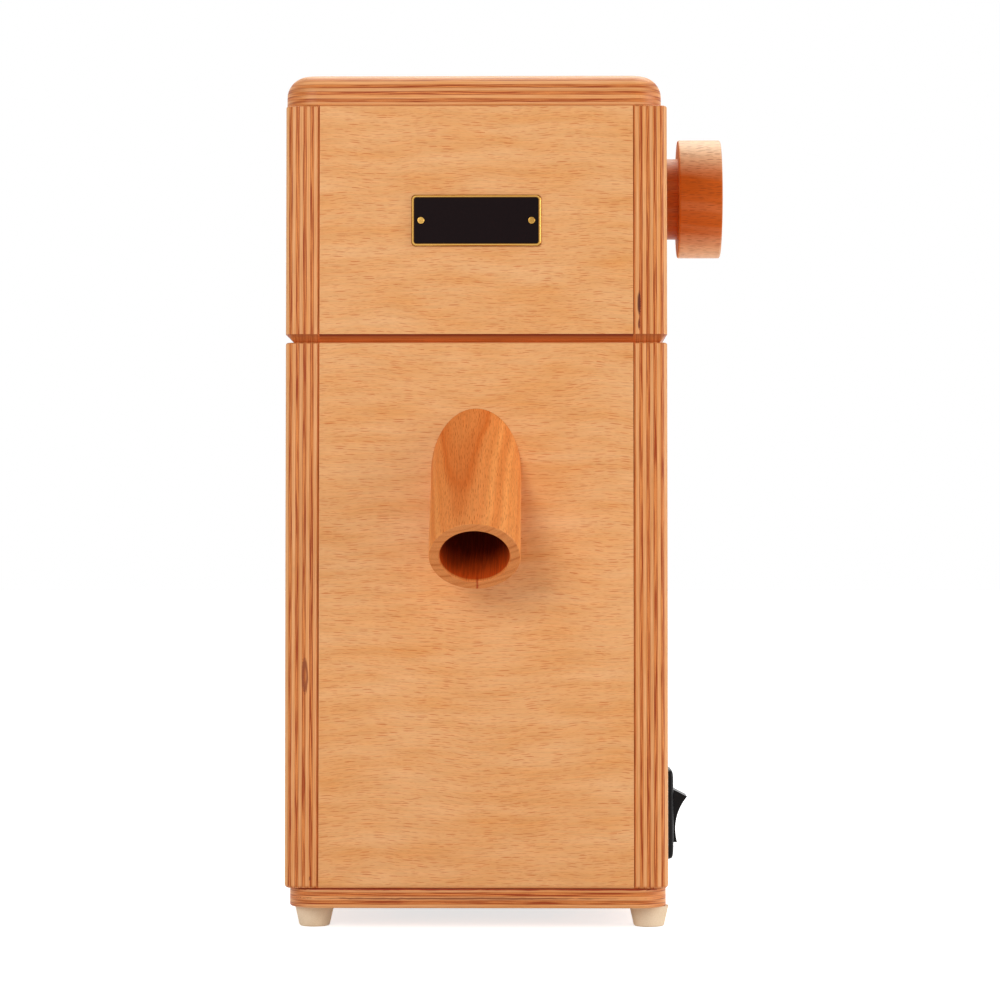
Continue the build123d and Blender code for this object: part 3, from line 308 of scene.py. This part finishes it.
def solid_beech(name, middle, turn, pith, slant, pale, deep, mark, gloss, ray=1.9 * MM, shade_band=None,
                tongue=None, bore=None):
    """Steamed solid beech, turned or planed and oiled.

    Growth zones are rings round a pith outside the piece, which is a little aslant, so that they
    run out in long tongues on a turned face. The rays are short fine dashes along the grain, the
    vessels fine fibres. Across the grain the wood is darker and greyer, with the rings as lines.
    The coordinates are the piece's own, with Z along its grain, and all lengths are in metres.
    Rays are of about the given length and of the mark's colour. A tongue is the slanting
    distance from the pith within which the wood is deeper. A band across X, given by its place,
    the half thickness at full colour and that at which it has faded, is painted light and shade:
    deep in the middle of the piece and fading to the pale tone above and below, as a lit top and
    bottom look.
    A bore is a radius within which the wood has painted shade, dark and red deeper in, and the
    tube with it has a split in its lower rim."""
    material, tree, shader = fresh(name, IOR=1.5, Specular_IOR_Level=0.14)
    where = put(tree, "TexCoord", out="Object")
    own = put(tree, "Mapping", {"Vector": where, "Location": middle, "Rotation": turn},
              vector_type="TEXTURE")
    drift = noise(tree, own, 30 * MM, 2.0, out="Color")
    bend = vector(tree, "MULTIPLY_ADD", drift, (4 * MM, 4 * MM, 0.0), (-2 * MM, -2 * MM, 0.0))
    bent = vector(tree, "ADD", own, bend)
    out = vector(tree, "SUBTRACT", bent, (pith[0], pith[1], 0.0))
    parts = axes_of(tree, out)
    flat = vector(tree, "MULTIPLY", out, (1.0, 1.0, 0.0))
    distance = vector(tree, "LENGTH", flat, out="Value")
    tilted = calc(tree, "MULTIPLY_ADD", parts[Z], slant, distance)

    # the rays are laid round the piece as on a tube of this radius, so every side has the same
    tube_radius = 17 * MM
    own_axes = axes_of(tree, own)
    angle = calc(tree, "ARCTAN2", own_axes[Y], own_axes[X])
    arc = calc(tree, "MULTIPLY", angle, tube_radius)
    ground = put(tree, "CombineXYZ", {"X": parts[Z], "Y": arc})
    pitch, half = (1.15 * ray, 0.62 * MM), (0.55 * ray, 0.14 * MM)
    dash = flecks(tree, ground, pitch, half, (0.45, 1.3), (0.15, 0.8))
    stretched = vector(tree, "MULTIPLY", bent, (1 / (0.5 * MM), 1 / (0.5 * MM), 1 / (12 * MM)))
    fibre = noise(tree, stretched, 1.0, 2.0)
    ring = calc(tree, "MULTIPLY", tilted, 1 / (5.5 * MM))
    ring = put(tree, "TexNoise", {"W": ring, "Scale": 1.0, "Detail": 1.5}, noise_dimensions="1D")
    zone = ramp(tree, ring, 0.28, 0.72, smooth=True)
    if tongue is not None:
        inner = ramp(tree, tilted, tongue - 1.8 * MM, tongue + 1.8 * MM, 0.42, 0.0, smooth=True)
        seam = calc(tree, "SUBTRACT", tilted, tongue)
        seam = calc(tree, "ABSOLUTE", seam)
        seam = ramp(tree, seam, 0.2 * MM, 1.2 * MM, 0.26, 0.0, smooth=True)
        inner = calc(tree, "ADD", inner, seam)
        zone = calc(tree, "MULTIPLY_ADD", zone, 0.45, inner)
    # painted light and shade: a band across X, deep in the middle and pale above and below, as a lit
    # top and bottom look
    if shade_band is not None:
        place, full, faded = shade_band
        core = calc(tree, "SUBTRACT", own_axes[X], place)
        core = calc(tree, "ABSOLUTE", core)
        core = ramp(tree, core, full, faded, 0.93, 0.0, smooth=True)
        zone = calc(tree, "MULTIPLY_ADD", zone, 0.12, core)
    side = blend(tree, zone, pale, deep)
    side = blend(tree, dash, side, mark)

    # across the grain: the rings as lines
    year = calc(tree, "MULTIPLY", tilted, 1 / (2.2 * MM))
    year = put(tree, "TexNoise", {"W": year, "Scale": 1.0, "Detail": 1.0}, noise_dimensions="1D")
    lines = ramp(tree, year, 0.46, 0.95)
    end = blend(tree, lines, "DA8A4C", "B4541C")
    grain = put(tree, "VectorRotate", {"Vector": (0.0, 0.0, 1.0), "Rotation": turn},
                rotation_type="EULER_XYZ")
    normal = put(tree, "NewGeometry", out="Normal")
    ends = vector(tree, "DOT_PRODUCT", normal, grain, out="Value")
    ends = calc(tree, "ABSOLUTE", ends)
    ends = ramp(tree, ends, 0.55, 0.95, smooth=True)
    wood = blend(tree, ends, side, end)

    if bore is not None:
        # painted shade within the bore: dark deep inside, warmer near the mouth, and faint at the
        # mouth's arris
        off_axis = vector(tree, "MULTIPLY", own, (1.0, 1.0, 0.0))
        radius = vector(tree, "LENGTH", off_axis, out="Value")
        inside = calc(tree, "LESS_THAN", radius, bore)
        depth = ramp(tree, own_axes[Z], -16 * MM, -1 * MM)
        depth = calc(tree, "MULTIPLY_ADD", fibre, 0.9, depth)
        depth = calc(tree, "SUBTRACT", depth, 0.45, clamp=True)
        dark = blend(tree, depth, "5E0300", "CA480E")
        arris = ramp(tree, own_axes[Z], -1.2 * MM, -0.5 * MM, 0.96, 0.2)
        inside = calc(tree, "MULTIPLY", inside, arris)
        wood = blend(tree, inside, wood, dark)

        # a radial split of the lower rim, where the tube has dried
        aside = calc(tree, "MULTIPLY_ADD", fibre, 1.2 * MM, own_axes[X])
        aside = calc(tree, "SUBTRACT", aside, 1.4 * MM)
        aside = calc(tree, "ABSOLUTE", aside)
        split = ramp(tree, aside, 0.15 * MM, 0.6 * MM, 0.8, 0.0)
        below = calc(tree, "LESS_THAN", own_axes[Y], 0.0)
        near = ramp(tree, own_axes[Z], -3 * MM, -1 * MM)
        split = calc(tree, "MULTIPLY", split, below)
        split = calc(tree, "MULTIPLY", split, near)
        wood = blend(tree, split, wood, "A8320C")

    tone = ramp(tree, fibre, 0.3, 0.7, 0.9, 1.07)
    wood = vector(tree, "SCALE", wood, tone)

    relief = calc(tree, "MULTIPLY_ADD", dash, -0.2, fibre)
    sheen = ramp(tree, fibre, 0.0, 1.0, gloss - 0.06, gloss + 0.08)
    wire_up(tree, shader, wood, sheen, relief, 0.25, 0.05 * MM)
    return material


# ------------------------------------------------------------------ other finishes
def moulded(name, light, dark, rough, grit, relief, **finish):
    """Rubber, plastic or enamel with an even grain: a noise of the given grit size in metres
    mixes two close tones, spreads the roughness and raises the surface a little."""
    material, tree, shader = fresh(name, **finish)
    where = put(tree, "TexCoord", out="Object")
    grain = noise(tree, where, grit, 3.0)
    cloud = noise(tree, where, 12 * MM, 2.0)
    both = calc(tree, "ADD", grain, cloud)
    tone = ramp(tree, both, 0.7, 1.3)
    colour = blend(tree, tone, light, dark)
    spread = ramp(tree, grain, 0.0, 1.0, rough - 0.08, rough + 0.08)
    wire_up(tree, shader, colour, spread, grain, 0.5, relief)
    return material


def worked_metal(name, light, dark, rough, marks, relief=0.01 * MM):
    """Metal that keeps the marks of its making: marks gives their sizes in metres along X, Y and
    Z, long along a drawn or ground bar, short across, even in a casting."""
    material, tree, shader = fresh(name, Metallic=1.0)
    where = put(tree, "TexCoord", out="Object")
    stretched = vector(tree, "MULTIPLY", where, tuple(1 / size for size in marks))
    scratch = noise(tree, stretched, 1.0, 3.0)
    cloud = noise(tree, where, 8 * MM, 2.0)
    tone = put(tree, "Mix", {"Factor": 0.4, "A": scratch, "B": cloud}, data_type="FLOAT")
    tone = ramp(tree, tone, 0.3, 0.7)
    colour = blend(tree, tone, light, dark)
    spread = ramp(tree, scratch, 0.0, 1.0, rough - 0.07, rough + 0.1)
    wire_up(tree, shader, colour, spread, scratch, 0.4, relief)
    return material


def enamelled_brass(name, plate, rim):
    """Brass plate, rolled and polished, with a sunk field of black enamel: the field shows as
    satin black with a faint orange peel, and the rim round it is brass with a painted reflection
    of a rounded bead, bright gold in its middle and dark bronze at its edges."""
    low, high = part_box(plate)
    material, tree, shader = fresh(name, Specular_IOR_Level=0.06)
    where = put(tree, "TexCoord", out="Object")
    half = [(b - a) / 2 - rim for a, b in zip(low, high)]

    # distance from a round-cornered rectangle, whose corners have the rim's width as radius
    gap = vector(tree, "SUBTRACT", where, middle_of(plate))
    gap = vector(tree, "ABSOLUTE", gap)
    gap = vector(tree, "SUBTRACT", gap, (half[X] - rim, 0.0, half[Z] - rim))
    gap = vector(tree, "MAXIMUM", gap, (0.0, 0.0, 0.0))
    gap = vector(tree, "MULTIPLY", gap, (1.0, 0.0, 1.0))
    reach = vector(tree, "LENGTH", gap, out="Value")
    field = calc(tree, "LESS_THAN", reach, rim + 0.02 * MM)
    # painted reflection: the flat rim is bright in its middle and dark bronze at its edges, as a
    # rounded bead reflects
    painted_bead_reflection = calc(tree, "SUBTRACT", reach, 1.5 * rim)
    painted_bead_reflection = calc(tree, "ABSOLUTE", painted_bead_reflection)
    painted_bead_reflection = ramp(tree, painted_bead_reflection, 0.0, 0.5 * rim, 1.0, 0.0)

    stretched = vector(tree, "MULTIPLY", where, (1 / (6 * MM), 1 / (0.3 * MM), 1 / (0.3 * MM)))
    scratch = noise(tree, stretched, 1.0, 3.0)
    peel = noise(tree, where, 0.8 * MM, 2.0)
    worn = blend(tree, scratch, "E8C070", "C08C38")
    brass = blend(tree, painted_bead_reflection, "7C4A16", worn)
    black = blend(tree, peel, "0C0305", "160809")
    colour = blend(tree, field, brass, black)
    metal = calc(tree, "SUBTRACT", 1.0, field)
    sheen = put(tree, "Mix", {"Factor": field, "A": 0.2, "B": 0.34}, data_type="FLOAT")
    sheen = calc(tree, "MULTIPLY_ADD", scratch, 0.12, sheen)
    tree.links.new(metal, shader.inputs["Metallic"])
    wire_up(tree, shader, colour, sheen, peel, 0.25, 0.02 * MM)
    return material


def stacked_sheet(name, thickness):
    """Electrical sheet steel, punched and stacked: blue-grey, with a fine line at each sheet."""
    material, tree, shader = fresh(name, Metallic=1.0)
    where = put(tree, "TexCoord", out="Object")
    height = axes_of(tree, where)[Z]
    place = calc(tree, "MULTIPLY", height, 1 / thickness)
    wave = calc(tree, "PINGPONG", place, 1.0)
    rust = noise(tree, where, 6 * MM, 3.0)
    colour = blend(tree, wave, "5A5D62", "8C8F94")
    stained = ramp(tree, rust, 0.55, 0.8, 0.0, 0.5)
    colour = blend(tree, stained, colour, "6B5244")
    spread = ramp(tree, rust, 0.0, 1.0, 0.35, 0.6)
    wire_up(tree, shader, colour, spread, wave, 0.6, 0.1 * MM)
    return material


def wound_copper(name, middle, wire):
    """Enamelled copper wire, wound and varnished: glossy red-brown strands that run round."""
    material, tree, shader = fresh(name, Metallic=0.85)
    where = put(tree, "TexCoord", out="Object")
    own = vector(tree, "SUBTRACT", where, middle)
    parts = axes_of(tree, own)
    flat = put(tree, "CombineXYZ", {"X": parts[X], "Y": parts[Y]})
    distance = vector(tree, "LENGTH", flat, out="Value")
    wander = noise(tree, own, 20 * MM, 1.0)
    layer = calc(tree, "MULTIPLY_ADD", wander, 4 * MM, distance)
    layer = calc(tree, "ADD", layer, parts[Z])
    layer = calc(tree, "MULTIPLY", layer, 2 * math.pi / wire)
    strand = calc(tree, "SINE", layer)
    strand = ramp(tree, strand, -1.0, 1.0)
    colour = blend(tree, strand, "6E2F14", "C8703A")
    spread = ramp(tree, wander, 0.0, 1.0, 0.25, 0.45)
    wire_up(tree, shader, colour, spread, strand, 0.8, 0.3 * MM)
    return material


def bonded_corundum(name):
    """White corundum grit of about 1 mm in a ceramic bond: a rough, pale grey stone with glassy
    grains, dark pores and some dust of flour."""
    material, tree, shader = fresh(name, IOR=1.6)
    where = put(tree, "TexCoord", out="Object")
    grains = put(tree, "TexVoronoi", {"Vector": where, "Scale": 1 / (1.1 * MM)})
    shade = put(tree, "SeparateColor", {"Color": grains.node.outputs["Color"]})
    bond = noise(tree, where, 10 * MM, 3.0)
    colour = blend(tree, shade, "E4DED0", "9E9686")
    edge = ramp(tree, grains, 0.45, 0.75, 0.0, 0.7)
    colour = blend(tree, edge, colour, "6F675A")
    dust = ramp(tree, bond, 0.45, 0.7, 0.0, 0.5)
    colour = blend(tree, dust, colour, "EFE8D8")
    spread = ramp(tree, shade, 0.0, 1.0, 0.5, 0.95)
    wire_up(tree, shader, colour, spread, edge, 0.7, 0.3 * MM)
    return material


# ------------------------------------------------------------------ finishes on the nodes
def dress(material, *names):
    """Gives a material to the slots of CAD nodes."""
    for name in names:
        mesh = nodes[name].data
        if not mesh.materials:
            mesh.materials.append(material)
        for number in range(len(mesh.materials)):
            mesh.materials[number] = material


body_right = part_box("body_right_panel")
body_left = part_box("body_left_panel")
base_low, base_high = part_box("base_plate")
front = body_right[0][Y]
right = body_right[0][X]
left = body_left[0][X]
base_front = base_low[Y]
base_top = base_high[Z]
flaws_and_shade_by_board = {
    "head_right_panel": [
        ((right + 2.3 * MM, front, 236.6 * MM), (0.7 * MM, 3 * MM, 5.4 * MM), "4C0A04", "spot"),
        ((right + 2.2 * MM, front, 229.4 * MM), (0.5 * MM, 3 * MM, 2.6 * MM), "6A1C0A", "spot"),
    ],
    "body_left_panel": [
        ((left + 7.8 * MM, front, 95.3 * MM), (0.9 * MM, 3 * MM, 4.6 * MM), "8E4520", "eye"),
        ((left + 9.8 * MM, front, 18.4 * MM), (0.6 * MM, 3 * MM, 1.3 * MM), "7C3216", "spot"),
    ],
    "base_plate": [
        # painted shadow: a long dark red streak along the base's top edge, where the body above shades
        # it
        ((0.0, base_front, base_top), (400 * MM, 7 * MM, 0.9 * MM), "921C02", "spot"),
        ((-20 * MM, base_front, base_top - 3.8 * MM), (70 * MM, 7 * MM, 0.5 * MM), "8A4A28", "spot"),
    ],
}
joint_groove = 0.9 * MM
groove_chamfer = 3.2 * MM
for part in ("body", "head"):
    for panel in ("left", "right", "front", "rear"):
        board = f"{part}_{panel}_panel"
        stack, along = (X, Z) if panel in ("left", "right") else (Y, X)
        outer = 1 if panel in ("right", "rear") else -1
        eased = joint_groove if stack == X else 0.0
        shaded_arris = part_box(board)[0][Z] + groove_chamfer if part == "head" else None
        flaws_and_shade = flaws_and_shade_by_board.get(board, ())
        made = beech_plywood(f"oiled_plywood_{board}", board, stack, along, 9, flaws_and_shade, outer, eased,
                             shaded_arris)
        dress(made, board)

# finish, board, axis of the stack, axis of the outer plies' grain, and number of plies
for name, board, stack, along, plies in (
        ("oiled_plywood_lid", "lid_board", Z, X, 9),
        ("oiled_plywood_base", "base_plate", Z, X, 5),
        ("plain_plywood_rim", "hopper_rim", Z, X, 5),
        ("plain_plywood_deck", "motor_deck", Z, X, 9),
        ("plain_plywood_block", "chamber_block", Z, X, 25),
        ("plain_plywood_hopper_sides", "hopper_side_boards", X, Y, 45),
        ("plain_plywood_hopper_ends", "hopper_end_boards", Y, X, 45)):
    flaws_and_shade = flaws_and_shade_by_board.get(board, ())
    dress(beech_plywood(name, board, stack, along, plies, flaws_and_shade), board)

# the mouth is a disc of 17 mm radius at 45 degrees: its middle is 12 mm behind and above its edge
spout_low, spout_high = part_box("spout")
mouth = ((spout_low[X] + spout_high[X]) / 2, spout_low[Y] + 12 * MM, spout_low[Z] + 12 * MM)
spout_turn = (math.radians(135), 0, 0)
level_turn = (0, math.radians(90), 0)
dress(solid_beech("turned_beech_spout", mouth, spout_turn, (-16.5 * MM, 50 * MM), 0.1,
                  "F4A056", "CE5A0C", "B04E12", 0.42, ray=2.4 * MM, tongue=34.2 * MM,
                  bore=13.4 * MM),
      "spout")
# the knob's band of painted light and shade: deep in its middle, pale at its lit top and bottom
dress(solid_beech("turned_beech_knob", middle_of("fineness_knob"), level_turn, (50 * MM, 30 * MM),
                  0.1, "FFD8AA", "C85C10", "9A3E0A", 0.4, ray=3.0 * MM,
                  shade_band=(3.5 * MM, 9 * MM, 24 * MM)),
      "fineness_knob")
planed = {"pith": (400 * MM, 300 * MM), "slant": 0.02, "pale": "E2AC78", "deep": "CC8B55",
          "mark": "C88850", "gloss": 0.5}
dress(solid_beech("planed_beech", (0, 0, 0), (0, 0, 0), **planed),
      "body_corner_posts", "head_corner_posts", "hopper_throat")
dress(solid_beech("planed_beech_battens", (0, 0, 0), level_turn, **planed), "lid_battens")

dress(moulded("cream_rubber_feet", "F5DDBE", "E8CDA8", 0.62, 0.5 * MM, 0.03 * MM, IOR=1.5),
      "rubber_feet")
dress(moulded("black_nitrile_seal", "141414", "0C0C0C", 0.55, 0.4 * MM, 0.02 * MM), "shaft_seal")
dress(moulded("glossy_black_abs", "0C0607", "060304", 0.28, 2 * MM, 0.01 * MM, Specular_IOR_Level=0.13),
      "switch_housing", "switch_rocker")
dress(moulded("black_nylon_bush", "181818", "0E0E0E", 0.45, 0.3 * MM, 0.02 * MM), "cord_bush")
dress(moulded("moulded_fan_plastic", "24262A", "17181B", 0.5, 0.5 * MM, 0.02 * MM), "cooling_fan")
dress(moulded("turned_nylon_cam", "EBE7DC", "D8D2C2", 0.4, 0.5 * MM, 0.01 * MM), "fineness_cam")
dress(moulded("satin_black_enamel", "1E1F22", "131417", 0.4, 0.9 * MM, 0.04 * MM, Coat_Weight=0.2),
      "motor_case")
dress(bonded_corundum("bonded_corundum"), "lower_stone", "upper_stone")

even = (0.6 * MM, 0.6 * MM, 0.6 * MM)
dress(worked_metal("zinc_plated_steel", "C9CBCD", "9EA2A6", 0.32, even), "foot_screws", "base_screws",
      "deck_screws", "head_screws", "motor_bolts", "yoke_screws", "stone_nut", "pressure_yoke")
dress(worked_metal("ground_steel_upright", "C4C5C7", "97999C", 0.25, (0.2 * MM, 0.2 * MM, 6 * MM)),
      "motor_shaft", "guide_pins")
dress(worked_metal("ground_steel_spindle", "C4C5C7", "97999C", 0.25, (6 * MM, 0.2 * MM, 0.2 * MM)),
      "knob_spindle", "cam_pin")
dress(worked_metal("drawn_spring_wire", "A8AAAD", "6F7276", 0.3, (0.3 * MM, 0.3 * MM, 0.3 * MM)),
      "carrier_springs")
dress(worked_metal("cast_aluminium", "B9BBBE", "8F9296", 0.5, (0.9 * MM, 0.9 * MM, 0.9 * MM),
                   relief=0.05 * MM),
      "stone_carrier", "motor_top_bell", "motor_bottom_bell", "stone_hub")
dress(worked_metal("drawn_aluminium_can", "CFD1D3", "A9ACB0", 0.28, (0.3 * MM, 0.3 * MM, 12 * MM)),
      "capacitor")
dress(worked_metal("polished_bearing_steel", "D8D9DB", "B4B6B9", 0.16, (0.3 * MM, 0.3 * MM, 0.3 * MM)),
      "bearing_outer_rings", "bearing_inner_rings")
dress(worked_metal("turned_brass", "DDB05E", "96692A", 0.2, (0.2 * MM, 2 * MM, 0.2 * MM)),
      "name_plate_screws", "spindle_bush", "switch_terminals")
dress(stacked_sheet("stacked_sheet_steel", 0.5 * MM), "stator_core", "rotor_core")
dress(wound_copper("wound_copper", middle_of("stator_windings"), 0.8 * MM), "stator_windings")
dress(enamelled_brass("enamelled_brass_plate", "name_plate", 1.0 * MM), "name_plate")


# ------------------------------------------------------------------ raised rim of the switch
def rounded(half_y, half_z, radius, steps=6):
    """Points round a rectangle with rounded corners, from the corner at +Y +Z on."""
    turn = np.radians(np.linspace(0, 90, steps + 1))
    quarters = []
    for number, (side_y, side_z) in enumerate(((1, 1), (-1, 1), (-1, -1), (1, -1))):
        angle = turn + number * np.pi / 2
        quarters.append(np.stack([side_y * (half_y - radius) + radius * np.cos(angle),
                                  side_z * (half_z - radius) + radius * np.sin(angle)], axis=1))
    return np.concatenate(quarters)


def switch_rim():
    """The crowned rim of the bezel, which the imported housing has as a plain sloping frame: a ring
    round the rocker's window whose wall rises steeply and rounds over to its crest."""
    low, high = (np.array(corner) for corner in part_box("switch_housing"))
    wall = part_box("body_right_panel")[1][X]
    middle = (low + high) / 2
    past = 0.1 * MM
    half_y, half_z = (high[Y] - low[Y]) / 2 + past, (high[Z] - low[Z]) / 2 + past
    outer = rounded(half_y, half_z, 2.5 * MM)
    window = rounded(8.35 * MM, 12.35 * MM, 0.5 * MM)
    # share of the way in to the window, and height above the casing in millimetres
    section = ((0.0, 0.03), (0.0, 2.8), (0.05, 3.6), (0.15, 4.05), (0.4, 4.35), (0.8, 4.5), (0.95, 4.4),
               (1.0, 4.0), (1.0, 0.6))
    rows = []
    for share, height in section:
        line = outer + (window - outer) * share
        rows.append(np.column_stack([np.full(len(line), wall + height * MM), line + middle[[Y, Z]]]))
    count, layers = len(outer), len(section)
    here = np.arange(layers)[:, None] * count + np.arange(count)[None, :]
    beside = np.roll(here, -1, axis=1)
    quads = np.stack([here, beside, np.roll(beside, -1, axis=0), np.roll(here, -1, axis=0)], axis=-1)
    shape = bpy.data.meshes.new("switch_rim")
    shape.from_pydata(np.concatenate(rows).tolist(), [], quads.reshape(-1, 4).tolist())
    shape.shade_smooth()
    shape.set_sharp_from_angle(angle=math.radians(40))
    shape.materials.append(nodes["switch_housing"].data.materials[0])
    rim = bpy.data.objects.new("switch_rim", shape)
    bpy.context.scene.collection.objects.link(rim)
    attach(rim, "housing")


switch_rim()


# ------------------------------------------------------------------ floor, world and lamps
def white_floor():
    """A pale matt floor; rays from the camera and from gloss see it lifted to white, and the
    object's shadow stays on it."""
    material, tree, shader = fresh("white_paper_floor", Roughness=0.9)
    where = put(tree, "TexCoord", out="Object")
    grain = noise(tree, where, 4 * MM, 2.0)
    colour = blend(tree, grain, "E8E8E8", "E2E2E2")
    tree.links.new(colour, shader.inputs["Base Color"])
    shader.inputs["Emission Color"].default_value = (1.0, 1.0, 1.0, 1.0)
    lift = calc(tree, "MULTIPLY", seen_rays(tree), 0.72)
    tree.links.new(lift, shader.inputs["Emission Strength"])
    return material


# four square tiles over three by three points
floor_reach = 12.0
across = np.linspace(-floor_reach, floor_reach, 3)
grid_x, grid_y = np.meshgrid(across, across)
points = np.stack([grid_x, grid_y, np.zeros_like(grid_x)], axis=-1).reshape(-1, 3)
corner = (np.arange(2)[:, None] * 3 + np.arange(2)[None, :]).reshape(-1, 1)
faces = corner + np.array([[0, 1, 4, 3]])
mesh = bpy.data.meshes.new("floor")
mesh.from_pydata(points.tolist(), [], faces.tolist())
floor = bpy.data.objects.new("floor", mesh)
floor.data.materials.append(white_floor())
bpy.context.scene.collection.objects.link(floor)

world = bpy.data.worlds.new("studio")
bpy.context.scene.world = world
world.use_nodes = True
sky = world.node_tree
background = sky.nodes["Background"]
level = ramp(sky, seen_rays(sky), 0.0, 1.0, 0.36, 1.0)
background.inputs["Color"].default_value = (1.0, 1.0, 1.0, 1.0)
sky.links.new(level, background.inputs["Strength"])


def soft_box(name, place, aim, width, height, watts):
    """A rectangular studio lamp at a place, turned to a point."""
    light = bpy.data.lights.new(name, "AREA")
    light.shape = "RECTANGLE"
    light.size = width
    light.size_y = height
    light.energy = watts
    lamp = bpy.data.objects.new(name, light)
    lamp.location = place
    line = np.array(aim) - np.array(place)
    flat = math.hypot(line[0], line[1])
    lamp.rotation_euler = (math.atan2(flat, -line[2]), 0.0, math.atan2(line[1], line[0]) - math.pi / 2)
    bpy.context.scene.collection.objects.link(lamp)


soft_box("key", (-0.75, -1.65, 0.85), (0.0, 0.0, 0.17), 0.7, 0.9, 13.7)
soft_box("fill", (1.55, -0.4, 0.45), (0.0, 0.0, 0.17), 0.8, 1.0, 12.0)
soft_box("top", (0.1, 0.6, 1.4), (0.0, 0.0, 0.2), 1.0, 1.0, 12.0)

bpy.context.scene.view_settings.view_transform = "Standard"
